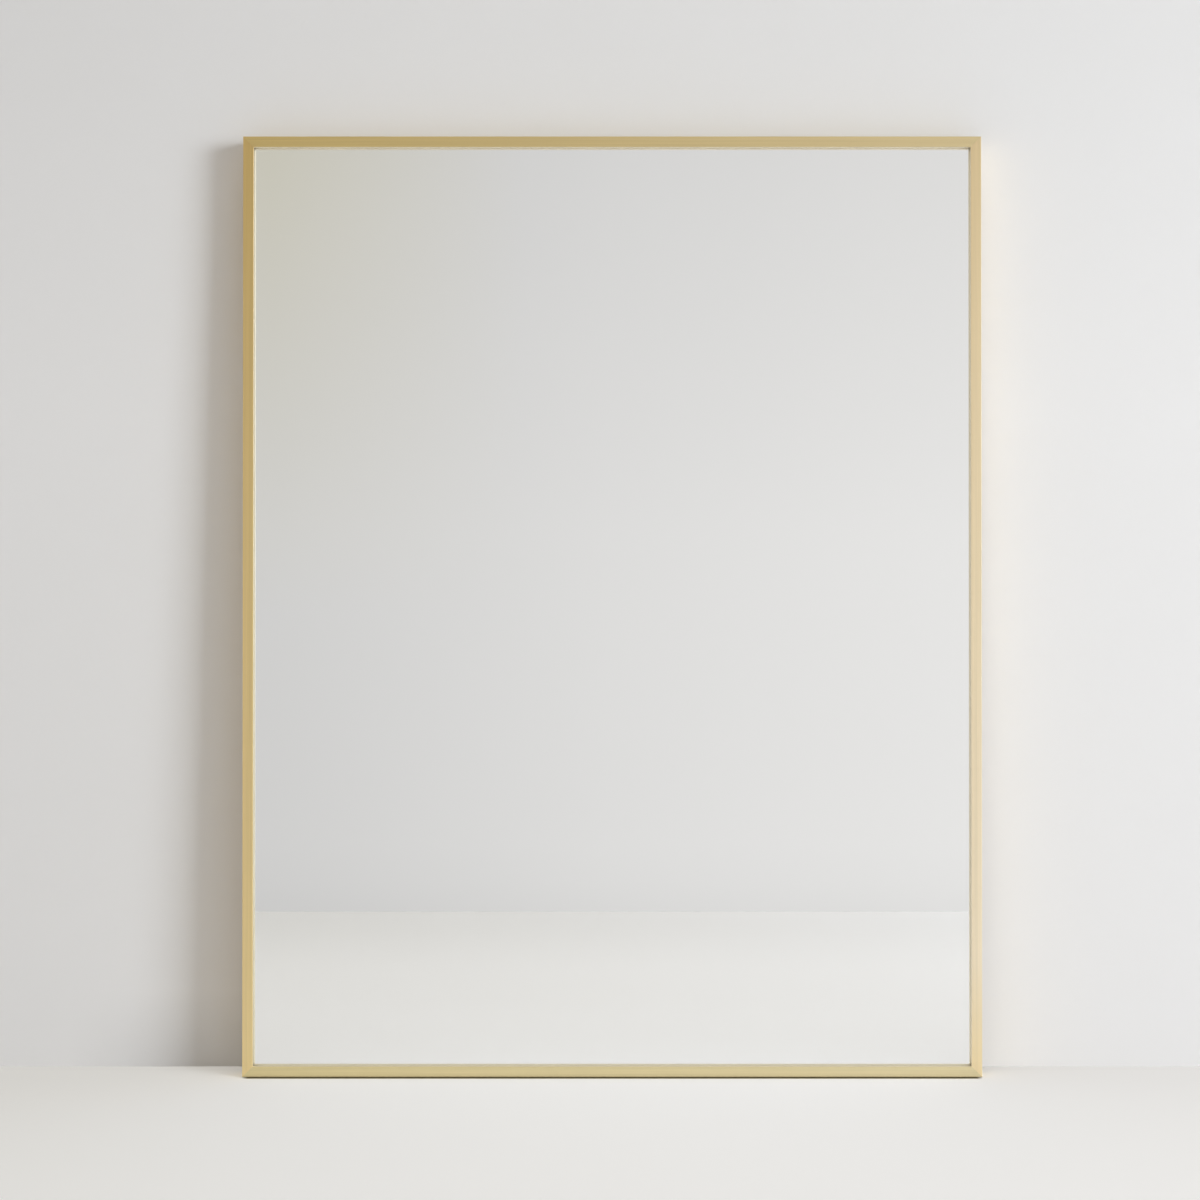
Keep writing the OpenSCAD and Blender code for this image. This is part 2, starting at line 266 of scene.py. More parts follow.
# Painted shade: the wall is darker up high, and darker in the corner by the floor, left of the
# mirror.
WALL_HIGH_START, WALL_HIGH = 0.5, 0.95
WALL_HIGH_PAINTED_SHADE = 0.90
WALL_CORNER_PAINTED_SHADE = 0.80
WALL_CORNER = {-0.42: 0, -0.33: 1, 0.0: 1, 0.2: 0}
WALL_CORNER_TOP = 0.06


def as_mesh(bm, name):
    """Writes a bmesh out as a mesh and frees it."""
    mesh = bpy.data.meshes.new(name)
    bm.to_mesh(mesh)
    bm.free()
    return mesh


def stage_sheet(name, width, height, matrix, material):
    """A flat sheet that belongs to the room and not to the object."""
    bm = bmesh.new()
    bmesh.ops.create_grid(bm, x_segments=1, y_segments=1, size=0.5)
    bmesh.ops.scale(bm, vec=(width, height, 1), verts=bm.verts)
    bmesh.ops.transform(bm, matrix=matrix, verts=bm.verts)
    mesh = as_mesh(bm, name)
    mesh.materials.append(material)
    sheet = bpy.data.objects.new(name, mesh)
    scene.collection.objects.link(sheet)
    return sheet


def seen_rays(tree):
    """1 on rays that show a surface to the camera, straight or by way of glass or metal."""
    rays = add(tree, "LightPath").outputs
    seen = math_node(tree, "MAXIMUM", rays["Is Camera Ray"], rays["Is Glossy Ray"])
    return math_node(tree, "MAXIMUM", seen, rays["Is Transmission Ray"])


def ending(tree, shader, far):
    """A surface that gives way to the plain tone of the world where it is far and seen."""
    share = math_node(tree, "MULTIPLY", seen_rays(tree), far)
    horizon = add(tree, "Emission", {"Color": SHOWN_COLOUR, "Strength": WORLD_SHOWN})
    shaders = {0: share, 1: shader.outputs[0], 2: horizon.outputs[0]}
    return add(tree, "MixShader", shaders).outputs[0]


def floor_material():
    """Matt pale paint with a faint painted glow where it is seen, painted lighter towards the window
    side, and a painted shadow along the frame's foot.
    """
    matt = {"Roughness": 0.9, "Specular IOR Level": 0.2}
    material, tree, shader = new_material("floor_paint", matt)
    place = axes_of(tree, object_space(tree))
    # painted light: the floor is lighter towards the window side
    across = share_between(tree, place["X"], -FLOOR_REACH, FLOOR_REACH)
    floor_painted_light = mixed(tree, across, FLOOR_PAINTED_DIM_LEFT, FLOOR_PAINTED_LIT_RIGHT)
    # painted shadow: a dark strip under and just in front of the frame's foot
    behind = share_between(tree, place["Y"], face_y - STRIP_START, face_y - STRIP_FULL)
    half_w = frame_w / 2
    inside = share_between(tree, absolute(tree, place["X"]), half_w, half_w - STRIP_SIDE)
    ahead = share_between(tree, place["Y"], rail_high.y + STRIP_BEHIND, rail_high.y)
    under = math_node(tree, "MULTIPLY", math_node(tree, "MULTIPLY", behind, ahead), inside)
    colour = mixed(tree, under, floor_painted_light, FLOOR_PAINTED_SHADOW)
    # painted glow: the floor glows faintly where it is seen
    painted_glow = ramp_along(tree, place["Y"], FLOOR_PAINTED_GLOW)
    seen_painted_glow = math_node(tree, "MULTIPLY", seen_rays(tree), painted_glow)
    fill(tree, shader, {"Base Color": colour, "Emission Color": colour})
    fill(tree, shader, {"Emission Strength": seen_painted_glow})
    places = {0: object_space(tree), 1: FLOOR_MIDDLE}
    distance = add(tree, "VectorMath", places, operation="DISTANCE").outputs["Value"]
    show(tree, ending(tree, shader, share_between(tree, distance, FLOOR_END_START, FLOOR_END)))
    return material


def wall_material():
    """Matt paint with painted light and shade on the side that faces the room, and nothing at all on
    the other.
    """
    matt = {"Roughness": 0.95, "Specular IOR Level": 0.1}
    material, tree, shader = new_material("wall_paint", matt)
    place = axes_of(tree, object_space(tree))
    # painted light: the wall is lighter towards the window side
    across = share_between(tree, place["X"], -WALL_REACH, WALL_REACH)
    colour = mixed(tree, across, WALL_PAINTED_DIM_LEFT, WALL_PAINTED_LIT_RIGHT)
    # painted shade: darker up high, and darker in the corner by the floor left of the mirror
    high = share_between(tree, place["Z"], WALL_HIGH_START, WALL_HIGH)
    low = share_between(tree, place["Z"], WALL_CORNER_TOP, 0.0)
    corner = math_node(tree, "MULTIPLY", low, ramp_along(tree, place["X"], WALL_CORNER))
    high_painted_shade = ranged(tree, high, 1.0, WALL_HIGH_PAINTED_SHADE)
    corner_painted_shade = ranged(tree, corner, 1.0, WALL_CORNER_PAINTED_SHADE)
    shade = math_node(tree, "MULTIPLY", high_painted_shade, corner_painted_shade)
    fill(tree, shader, {"Base Color": dimmed(tree, colour, shade)})
    beside = absolute(tree, place["X"])
    ended = ending(tree, shader, share_between(tree, beside, WALL_END_START, WALL_END))
    side = add(tree, "NewGeometry").outputs["Backfacing"]
    clear = add(tree, "BsdfTransparent").outputs[0]
    show(tree, add(tree, "MixShader", {0: side, 1: ended, 2: clear}).outputs[0])
    return material


rear_foot = Matrix.Translation((0, rail_high.y, 0))
leaning = rear_foot @ Matrix.Rotation(LEAN, 4, "X")
stage_sheet("floor", FLOOR_SIZE, FLOOR_SIZE, leaning, floor_material())

bumper_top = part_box("wall_bumper_top_left")[1]
upright = Matrix.Rotation(math.radians(90) + LEAN, 4, "X")
raised = Matrix.Translation((0, WALL_H / 2 - bumper_top.z / math.cos(LEAN), 0))
at_bumpers = Matrix.Translation((0, bumper_top.y, bumper_top.z)) @ upright @ raised
wall = stage_sheet("wall", WALL_W, WALL_H, at_bumpers, wall_material())
wall.visible_shadow = wall.visible_diffuse = False
wall.visible_glossy = wall.visible_transmission = False
gap = max(vertex.co.y for vertex in wall.data.vertices) - bumper_top.y
print(f"the wall is {gap / MM:.1f} mm further back at the floor than at the upper bumpers")

# %% [markdown]
# What the mirror sees
#
# The camera looks into the mirror at the other side of the room: a pale wall over a metre in
# front of the glass and the floor that runs up to it. The real floor of the stage serves for
# the floor. The wall is a glowing sheet with a soft gradient, brighter towards the window side,
# darker up high and warm at its upper left. Only reflections can see it. A ray that has passed
# through the glass counts as a transmission ray, so the sheet stays visible to those as well.

# %% The far side of the room
ROOM_DISTANCE = 1.437
ROOM_W = 9.0
ROOM_H = 3.2
ROOM_BELOW = 0.1
ROOM_GLOW = {-0.444: 0.66, 0.0: 0.762, 0.466: 0.832}
ROOM_HEIGHT_GLOW = {-0.04: 0.945, 0.0: 0.98, 0.05: 1.0, 0.46: 1.0, 0.96: 0.91, 1.7: 0.85}
ROOM_PALE = (1.0, 0.99, 0.98)
ROOM_WARM = (1.0, 0.965, 0.83)
WARM_FROM_X, WARM_TO_X = -0.11, -0.44
WARM_FROM_Z, WARM_TO_Z = 0.35, 0.97


def room_material():
    """A glow whose strength changes across and upward, with a warm tint in one corner."""
    material = bpy.data.materials.new("room_glow")
    material.use_nodes = True
    tree = material.node_tree
    tree.nodes.remove(tree.nodes["Principled BSDF"])
    place = axes_of(tree, object_space(tree))
    across = ramp_along(tree, place["X"], ROOM_GLOW)
    upward = ramp_along(tree, place["Z"], ROOM_HEIGHT_GLOW)
    glow = math_node(tree, "MULTIPLY", across, upward)
    sideward = share_between(tree, place["X"], WARM_FROM_X, WARM_TO_X)
    high = share_between(tree, place["Z"], WARM_FROM_Z, WARM_TO_Z)
    tint = mixed(tree, math_node(tree, "MULTIPLY", sideward, high), ROOM_PALE, ROOM_WARM)
    show(tree, add(tree, "Emission", {"Color": tint, "Strength": glow}).outputs[0])
    return material


silver_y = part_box("mirror_silvering")[0].y
room_place = Matrix.Translation((0, silver_y - ROOM_DISTANCE, ROOM_H / 2 - ROOM_BELOW))
facing_mirror = room_place @ Matrix.Rotation(math.radians(90), 4, "X")
room = stage_sheet("room_wall", ROOM_W, ROOM_H, facing_mirror, room_material())
room.visible_camera = room.visible_shadow = room.visible_diffuse = False
print("the room's far wall stands", ROOM_DISTANCE, "m in front of the silvering")

# %% [markdown]
# The lamps
#
# The shadow on the wall lies to the left of the frame and starts a little below its top, so the
# main light comes from the right and slightly above. Its edge is soft, which asks for a large
# lamp, and it stands five metres off, so that it lights both sides of the wall nearly alike. A
# broad lamp overhead and a pale world fill the rest, as the walls of a bright room do. The lamp
# overhead doesn't show in metal or glass, because the real mirror shows a room without one. The
# world shows as plain pale grey to the camera and in reflections.

# %% Lamps and world
KEY_PLACE = Vector((3.99, -3.01, 1.12))
KEY_SIZE = 2.0
KEY_WATTS = 164
KEY_COLOUR = (0.90, 0.96, 1.0)
TOP_PLACE = Vector((0.0, -1.3, 5.0))
TOP_SIZE = 2.5
TOP_WATTS = 85
TOP_COLOUR = (1.0, 0.995, 0.985)
WORLD_FILL = 0.34
FILL_COLOUR = (1.0, 0.93, 0.80)


def area_lamp(name, place, target, size, watts, colour):
    """A square lamp at a place, turned towards a target."""
    data = bpy.data.lights.new(name, "AREA")
    data.size = size
    data.energy = watts
    data.color = colour
    lamp = bpy.data.objects.new(name, data)
    lamp.location = place
    lamp.rotation_euler = (target - place).to_track_quat("-Z", "Y").to_euler()
    scene.collection.objects.link(lamp)
    return lamp


middle = (cad_low + cad_high) / 2
area_lamp("window_light", KEY_PLACE, middle, KEY_SIZE, KEY_WATTS, KEY_COLOUR)
ceiling = area_lamp("ceiling_light", TOP_PLACE, middle, TOP_SIZE, TOP_WATTS, TOP_COLOUR)
ceiling.visible_glossy = ceiling.visible_transmission = False

world = bpy.data.worlds.new("studio")
world.use_nodes = True
scene.world = world
sky = world.node_tree
seen = seen_rays(sky)
tint = mixed(sky, seen, FILL_COLOUR, SHOWN_COLOUR)
strength = ranged(sky, seen, WORLD_FILL, WORLD_SHOWN)
fill(sky, sky.nodes["Background"], {"Color": tint, "Strength": strength})
scene.view_settings.view_transform = "Standard"
print("lamps:", [light.name for light in bpy.data.lights])

# %% [markdown]
# Shared effects as node groups
#
# Three effects come back in several finishes. Brushed and rolled metal has fine lines that run
# one way: noise gives them once its space is squeezed along that way. Plating, paint and rubber
# have soft clouds. And the gold has painted light: a colour for the top and one for the foot,
# and a paler one towards its lower right, where the window light falls; how much of that shows
# on the right side is given for places from the top, 0, to the foot, 1. Each effect is a group
# with named inputs, built once and placed in each material.

# %% Node groups
CLOUD_LOW, CLOUD_HIGH = 0.3, 0.7
# Painted light on the gold: how much of its paler right-side colour shows, from the top, 0, to the
# foot, 1.
GOLD_PAINTED_LIGHT_DOWN = {0.0: 0.35, 0.88: 0.84, 1.0: 0.28}


def node_group(name, inputs, outputs):
    """An empty shader group with its sockets, and its input and output nodes."""
    group = bpy.data.node_groups.new(name, "ShaderNodeTree")
    for label, kind in inputs:
        group.interface.new_socket(label, in_out="INPUT", socket_type="NodeSocket" + kind)
    for label, kind in outputs:
        group.interface.new_socket(label, in_out="OUTPUT", socket_type="NodeSocket" + kind)
    return group, group.nodes.new("NodeGroupInput"), group.nodes.new("NodeGroupOutput")


def lines_group():
    """Lines that run along the axis in which the incoming space is squeezed."""
    inputs = [("Vector", "Vector"), ("Spacing", "Float")]
    group, start, end = node_group("drawn_lines", inputs, [("Lines", "Float")])
    rate = math_node(group, "DIVIDE", 1.0, start.outputs["Spacing"])
    fine_rate = math_node(group, "MULTIPLY", rate, 5.0)
    vector = start.outputs["Vector"]
    broad = add(group, "TexNoise", {"Vector": vector, "Scale": rate, "Detail": 3.0}).outputs[0]
    fine = add(group, "TexNoise", {"Vector": vector, "Scale": fine_rate, "Detail": 2.0}).outputs[0]
    both = math_node(group, "MULTIPLY", math_node(group, "ADD", broad, fine), 0.5)
    group.links.new(both, end.inputs["Lines"])
    return group


def clouds_group():
    """Soft patches of a given size, stretched to run from 0 to 1."""
    inputs = [("Vector", "Vector"), ("Size", "Float")]
    group, start, end = node_group("clouds", inputs, [("Clouds", "Float")])
    rate = math_node(group, "DIVIDE", 1.0, start.outputs["Size"])
    vector = start.outputs["Vector"]
    detail = {"Vector": vector, "Scale": rate, "Detail": 6.0, "Roughness": 0.6}
    noise = add(group, "TexNoise", detail).outputs[0]
    patches = share_between(group, noise, CLOUD_LOW, CLOUD_HIGH)
    group.links.new(patches, end.inputs["Clouds"])
    return group


def painted_light_group():
    """Painted light on a finish that changes from the top of the frame to its foot and towards its
    right side.
    """
    colours = [(label, "Color") for label in ("Upper", "Lower", "Outer")]
    group, start, end = node_group("painted_light", [("Vector", "Vector"), *colours], [("Colour", "Color")])
    place = axes_of(group, start.outputs["Vector"])
    down = share_between(group, place["Z"], frame_h, 0.0)
    tone = mixed(group, down, start.outputs["Upper"], start.outputs["Lower"])
    right = share_between(group, place["X"], -frame_w / 2, frame_w / 2)
    outward = math_node(group, "MULTIPLY", right, ramp_along(group, down, GOLD_PAINTED_LIGHT_DOWN))
    group.links.new(mixed(group, outward, tone, start.outputs["Outer"]), end.inputs["Colour"])
    return group


DRAWN_LINES = lines_group()
CLOUDS = clouds_group()
GOLD_PAINTED_LIGHT = painted_light_group()


def use_group(tree, group, inputs):
    """Places a group in a material and returns its only output."""
    return add(tree, "Group", inputs, node_tree=group).outputs[0]


def drawn_lines(tree, spacing, squeeze):
    """Lines on the object, along the axis in which its space is squeezed."""
    space = object_space(tree, squeeze)
    return use_group(tree, DRAWN_LINES, {"Vector": space, "Spacing": spacing})


def clouds(tree, size, stretch=(1, 1, 1)):
    """Clouds of a size on the object, longer where the stretch is under 1."""
    return use_group(tree, CLOUDS, {"Vector": object_space(tree, stretch), "Size": size})


print("node groups:", [group.name for group in bpy.data.node_groups])

# %% [markdown]
# Brushed gold
#
# The rails are drawn aluminium, brushed along their length and anodised a pale gold. A metal
# takes its colour from what it mirrors, so it needs a metallic shader with a roughness that
# blurs the room but keeps its gradients. The brush lines run along each rail: the rails across
# the frame need their space squeezed along X and the upright ones along Z, so the same recipe
# is built for both. The lip beside the glass isn't brushed. Its anodised coat is pale and satin,
# so it is part metal and part matt, and lights up on the side that faces the window. Each tone
# has painted light: a colour for the top, one for the foot, and a paler one that it turns to on
# the right, where the window light falls.

# %% Gold
ACROSS = "across"
UPRIGHT = "upright"
SQUEEZED = {ACROSS: (0.004, 1, 1), UPRIGHT: (1, 1, 0.004)}
# Painted light: lit and shaded colours of one gold, for the top, the foot and the right side.
GOLD = {
    ACROSS: {
        "Upper": (0.72, 0.547, 0.238),
        "Lower": (0.792, 0.671, 0.370),
        "Outer": (0.70, 0.634, 0.484),
    },
    UPRIGHT: {
        "Upper": (0.686, 0.493, 0.206),
        "Lower": (0.887, 0.699, 0.362),
        "Outer": (0.89, 0.779, 0.602),
    },
}
# Painted light on the lip: slightly different tones for the top, the foot and the right side.
SATIN = {
    "Upper": (0.99, 0.895, 0.68),
    "Lower": (0.97, 0.875, 0.65),
    "Outer": (0.97, 0.88, 0.68),
}
BRUSH_SPACING = 1.6 * MM
MEAN_SHADE = 0.98
ROUGH_SPREAD = 0.08


def gold_material(name, direction, colours, metallic, rough, contrast):
    """Gold with painted light over the frame, and lines along the rail that change its shade, its
    roughness and its surface.
    """
    material, tree, shader = new_material(f"{name}_{direction}", {"Metallic": metallic})
    lines = drawn_lines(tree, BRUSH_SPACING, SQUEEZED[direction])
    # painted light: the gold's lit and shaded tones by place on the frame
    tone = use_group(tree, GOLD_PAINTED_LIGHT, {"Vector": object_space(tree), **colours})
    shade = ranged(tree, lines, MEAN_SHADE - contrast, MEAN_SHADE + contrast)
    roughness = ranged(tree, lines, rough - ROUGH_SPREAD, rough + ROUGH_SPREAD)
    fill(tree, shader, {"Base Color": dimmed(tree, tone, shade), "Roughness": roughness})
    roughen(tree, shader, lines, contrast, 0.03 * MM)
    return material


gold = {
    direction: [
        gold_material("brushed_gold", direction, GOLD[direction], 1.0, 0.36, 0.18),
        gold_material("satin_lip", direction, SATIN, 0.8, 0.38, 0.05),
    ]
    for direction in (ACROSS, UPRIGHT)
}
print("gold:", [material.name for pair in gold.values() for material in pair])

# %% [markdown]
# Helpers for meshes
#
# Pieces are drawn with mesh operators on a bmesh, in metres and in place, so that every object
# stays at the origin. A finished bmesh is cleaned once: doubles are merged, and then the faces
# are turned outward. Edges on real things are never quite sharp, and a narrow bevel catches the
# light as a real edge does. Weighted normals keep the flats flat next to such bevels, and an
# edge that stays steep, such as the rim of a cut, is marked sharp so that no shade runs over it.
# A finish is kept as a pair, a name and its material, and a star spreads the pair out.

# %% Mesh helpers
WELD = 0.0005 * MM
FLAT = math.radians(0.5)
SHARP = math.radians(35)
CREASE = math.radians(50)


def new_piece(name, bm, slot, materials, *nodes, body="mirror"):
    """Makes a finished bmesh a piece that rides on a body and stands for CAD nodes."""
    bmesh.ops.remove_doubles(bm, verts=bm.verts, dist=WELD)
    bmesh.ops.recalc_face_normals(bm, faces=bm.faces)
    for face in bm.faces:
        face.smooth = True
    for edge in bm.edges:
        edge.smooth = not (edge.is_manifold and edge.calc_face_angle() > CREASE)
    mesh = as_mesh(bm, name)
    for material in materials if isinstance(materials, list) else [materials]:
        mesh.materials.append(material)
    piece = bpy.data.objects.new(name, mesh)
    scene.collection.objects.link(piece)
    normals = piece.modifiers.new("normals", "WEIGHTED_NORMAL")
    normals.keep_sharp = True
    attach(piece, body)
    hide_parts(*nodes)
    return piece


def soften(bm, edges, width, segments=2):
    """Rounds edges to a small radius."""
    bmesh.ops.bevel(
        bm,
        geom=edges,
        offset=width,
        offset_type="OFFSET",
        segments=segments,
        profile=0.5,
        affect="EDGES",
        clamp_overlap=True,
        material=-1,
    )


def sharp_edges(bm):
    """The edges where two faces meet at more than the sharp angle."""
    return [edge for edge in bm.edges if edge.is_manifold and edge.calc_face_angle() > SHARP]


def softened(node, width):
    """A CAD node's shape with its loose triangles merged, flats made whole and edges rounded."""
    bm = bmesh.new()
    bm.from_mesh(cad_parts[node].data)
    bmesh.ops.remove_doubles(bm, verts=bm.verts, dist=WELD)
    bmesh.ops.dissolve_limit(bm, angle_limit=FLAT, verts=bm.verts, edges=bm.edges)
    soften(bm, sharp_edges(bm), width)
    return bm


def rounded_copy(name, node, width, slot, material):
    """A piece with the shape of a CAD node that stays with the mirror, its edges rounded."""
    return new_piece(name, softened(node, width), slot, material, node)


def block(size, place):
    """A box of a size round a place."""
    bm = bmesh.new()
    bmesh.ops.create_cube(bm, size=1)
    bmesh.ops.scale(bm, vec=size, verts=bm.verts)
    bmesh.ops.translate(bm, vec=place, verts=bm.verts)
    return bm


def triangles(*pieces):
    """How many triangles pieces have in all."""
    return sum(len(face.vertices) - 2 for piece in pieces for face in piece.data.polygons)


# %% [markdown]
# The rails
#
# All four rails are cut from one drawn section: a narrow face, a lip that the glass rests on,
# an outer wall, and a rear channel with return lips that takes the corner plates. The section
# is drawn once as a flat outline of nineteen points, extruded along the rail, and then its ends
# are pushed in by each point's distance from the outer edge, which cuts them at 45 degrees. The
# joints are left open by a hairline, as two sawn ends meet. The lip has a small chamfer on the
# glass side. The mirror shows that side too, and without the chamfer it would be a black line.
# A rail is drawn as the bottom one, with X along it and Z inward, and turned about Y to its side.

# %% Rails
FACE_W = 8.0 * MM
FACE_T = 1.5 * MM
WALL_T = 1.4 * MM
LIP_T = 1.2 * MM
SLOT_W = 5.6 * MM
FACE_RADIUS = 0.25 * MM
EDGE_RADIUS = 0.2 * MM
LIP_RADIUS = 0.06 * MM
MITRE_GAP = 0.03 * MM
LIP_CLEARANCE = 0.05 * MM
LIP_CHAMFER_DEPTH = 0.9 * MM
LIP_CHAMFER_IN = 1.02 * MM
SIDES = {"bottom": 0, "left": 90, "top": 180, "right": 270}

leg = channel_w - WALL_T
slot_low = channel_mid - SLOT_W / 2
slot_high = channel_mid + SLOT_W / 2
lip_end = glass_seat - LIP_CLEARANCE

# Each point is a depth behind the face and a distance in from the outer edge
SECTION = [
    (0, 0),
    (0, FACE_W),
    (lip_end - LIP_CHAMFER_DEPTH, FACE_W),
    (lip_end, FACE_W - LIP_CHAMFER_IN),
    (lip_end, FACE_W - LIP_T),
    (FACE_T, FACE_W - LIP_T),
    (FACE_T, WALL_T),
    (web_front, WALL_T),
    (web_front, channel_w),
    (frame_depth, channel_w),
    (frame_depth, slot_high),
    (return_front, slot_high),
    (return_front, leg),
    (web_back, leg),
    (web_back, WALL_T),
    (return_front, WALL_T),
    (return_front, slot_low),
    (frame_depth, slot_low),
    (frame_depth, 0),
]


def rail_length(turn):
    """A rail's length: those at 0 and 180 degrees lie across, and the others are upright."""
    return frame_w if turn % 180 == 0 else frame_h


def side_matrix(turn):
    """Carries what is drawn on the bottom rail to the side at that turn about Y."""
    out_to_side = Matrix.Translation((0, 0, -rail_length(turn + 90) / 2))
    middle_of_frame = Matrix.Translation((0, face_y, frame_h / 2))
    return middle_of_frame @ Matrix.Rotation(math.radians(turn), 4, "Y") @ out_to_side


def long_edges(bm, front, back):
    """The edges that run along a rail from end to end, between two depths behind the face."""
    lengthwise = [edge for edge in bm.edges if edge.verts[0].co.x * edge.verts[1].co.x < 0]
    return [edge for edge in lengthwise if front < edge.verts[0].co.y < back]


def rail_mesh(turn):
    """A rail with mitred ends and rounded edges, whose lip has the second material."""
    bm = bmesh.new()
    outline = bm.faces.new([bm.verts.new((0, depth, across)) for depth, across in SECTION])
    near = list(outline.verts)
    drawn = bmesh.ops.extrude_face_region(bm, geom=[outline])["geom"]
    far = [item for item in drawn if isinstance(item, bmesh.types.BMVert)]
    for ends, way in ((near, -1), (far, 1)):
        for vert in ends:
            vert.co.x = way * (rail_length(turn) / 2 - vert.co.z - MITRE_GAP)
    bmesh.ops.recalc_face_normals(bm, faces=bm.faces)
    soften(bm, long_edges(bm, glass_seat, 2 * frame_depth), EDGE_RADIUS)
    soften(bm, long_edges(bm, FACE_T / 2, glass_seat), LIP_RADIUS)
    soften(bm, long_edges(bm, -FACE_T, FACE_T / 2), FACE_RADIUS, segments=5)
    for face in bm.faces:
        centre = face.calc_center_median()
        if FACE_RADIUS < centre.y < glass_seat and centre.z > FACE_W - LIP_CHAMFER_IN:
            face.material_index = 1
    bmesh.ops.transform(bm, matrix=side_matrix(turn), verts=bm.verts)
    return bm


rails = [
    new_piece(
        f"{side}_rail",
        rail_mesh(turn),
        "brushed_gold",
        gold[ACROSS if turn % 180 == 0 else UPRIGHT],
        f"frame_{side}_rail",
    )
    for side, turn in SIDES.items()
]
print("rails:", [rail.name for rail in rails], triangles(*rails), "triangles")

# %% [markdown]
# Glass and silver
#
# The CAD glass has the right shape, with its ground edges, so it stays and gets a clear glass
# material. Glass that is really see-through needs a transmissive shader and a closed solid. Its
# flats are polished and its ground edges are not: how far a face is turned away from the
# mirror's own direction tells them apart. The silver is a coat on the back of the glass. It is
# drawn as a thin sheet that just enters the glass, so that no film of air lies between them,
# with bright metal on the glass side and grey paint behind. Cycles blurs clear glass for light
# that has met a rough surface before. That would leave the lip dark in the mirror and spread the
# light that the mirror throws on the floor, so the filter is off.

# %% Glass
GLASS_COLOUR = (0.990, 0.995, 0.993)
POLISHED_FROM = 0.98
GROUND_FROM = 0.9
GROUND_ROUGHNESS = 0.4


def glass_material():
    """Clear glass that is rough where it is turned away from the mirror's own direction."""
    clear = {"Base Color": GLASS_COLOUR, "Transmission Weight": 1.0, "IOR": 1.52}
    material, tree, shader = new_material("float_glass", clear)
    normal = add(tree, "NewGeometry").outputs["True Normal"]
    facing = absolute(tree, axes_of(tree, normal)["Y"])
    limits = {"From Min": POLISHED_FROM, "From Max": GROUND_FROM, "To Max": GROUND_ROUGHNESS}
    roughness = add(tree, "MapRange", {"Value": facing, **limits}).outputs[0]
    fill(tree, shader, {"Roughness": roughness})
    return material


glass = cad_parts["mirror_glass"]
glass.material_slots[0].material = glass_material()
scene.cycles.blur_glossy = 0.0
glass_low, glass_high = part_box("mirror_glass")
print("glass:", [round(side / MM, 1) for side in glass_high - glass_low])


# %% Silver
SILVER_OVERLAP = 0.15 * MM
SILVER_TONES = (0.955, 0.955, 0.953), (0.965, 0.965, 0.963)
BACK_PAINT_TONES = (0.10, 0.105, 0.115), (0.14, 0.145, 0.155)


def silver_material():
    """Bright metal with wide patches that differ very slightly."""
    material, tree, shader = new_material("silver", {"Metallic": 1.0, "Roughness": 0.0})
    fill(tree, shader, {"Base Color": mixed(tree, clouds(tree, 300 * MM), *SILVER_TONES)})
    return material


def back_paint_material():
    """Dull grey paint with the fine swell of a sprayed coat."""
    material, tree, shader = new_material("mirror_back_paint", {"Roughness": 0.6})
    patches = clouds(tree, 12 * MM)
    fill(tree, shader, {"Base Color": mixed(tree, patches, *BACK_PAINT_TONES)})
    roughen(tree, shader, patches, 0.2, 0.1 * MM)
    return material


def silver_mesh():
    """A thin sheet whose front is the first material and the rest the second."""
    low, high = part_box("mirror_silvering")
    low.y -= SILVER_OVERLAP
    bm = block(high - low, (high + low) / 2)
    for face in bm.faces:
        face.material_index = 0 if face.normal.y < -0.5 else 1
    return bm


SILVERED = "silvering", [silver_material(), back_paint_material()]
silver = new_piece("silver_coat", silver_mesh(), *SILVERED, "mirror_silvering")
print("silver coat:", [round(side / MM, 2) for side in silver.dimensions])

# %% [markdown]
# Backing board
#
# A sheet of brown hardboard backs the glass. Pressed wood fibre shows short flecks in all
# directions, darker knots of bark and a faint waxy shine. Its sawn edges are paler and rougher
# than its faces, though the material here gives edges and faces the same look. The CAD sheet
# has the right size, and its copy gets rounded edges.

# %% Board
BOARD_ROUNDING = 0.3 * MM
BOARD_DARK = (0.085, 0.046, 0.024)
BOARD_BROWN = (0.205, 0.118, 0.062)
BOARD_FIBRE = (0.33, 0.205, 0.115)
FIBRE_STRETCH = (1, 1, 0.45)
KNOT_SPACING = 5 * MM
KNOT_RIM, KNOT_CORE = 0.16, 0.06
KNOT_STRENGTH = 0.55


def board_material():
    """Brown fibre in soft patches, with small dark knots."""
    material, tree, shader = new_material("hardboard_brown", {"Specular IOR Level": 0.35})
    patches = clouds(tree, 60 * MM)
    fibres = clouds(tree, 2.2 * MM, FIBRE_STRETCH)
    cells = {"Vector": object_space(tree), "Scale": 1 / KNOT_SPACING, "Randomness": 1.0}
    to_middle = add(tree, "TexVoronoi", cells).outputs[0]
    knots = share_between(tree, to_middle, KNOT_RIM, KNOT_CORE)
    brown = mixed(tree, ranged(tree, patches, 0.35, 0.75), BOARD_DARK, BOARD_BROWN)
    fibred = mixed(tree, ranged(tree, fibres, 0.0, 0.45), brown, BOARD_FIBRE)
    spotted = mixed(tree, math_node(tree, "MULTIPLY", knots, KNOT_STRENGTH), fibred, BOARD_DARK)
    fill(tree, shader, {"Base Color": spotted, "Roughness": ranged(tree, fibres, 0.5, 0.72)})
    roughen(tree, shader, fibres, 0.35, 0.12 * MM)
    return material


HARDBOARD = "hardboard", board_material()
board = rounded_copy("hardboard_sheet", "backing_board", BOARD_ROUNDING, *HARDBOARD)
print("board:", triangles(board), "triangles")

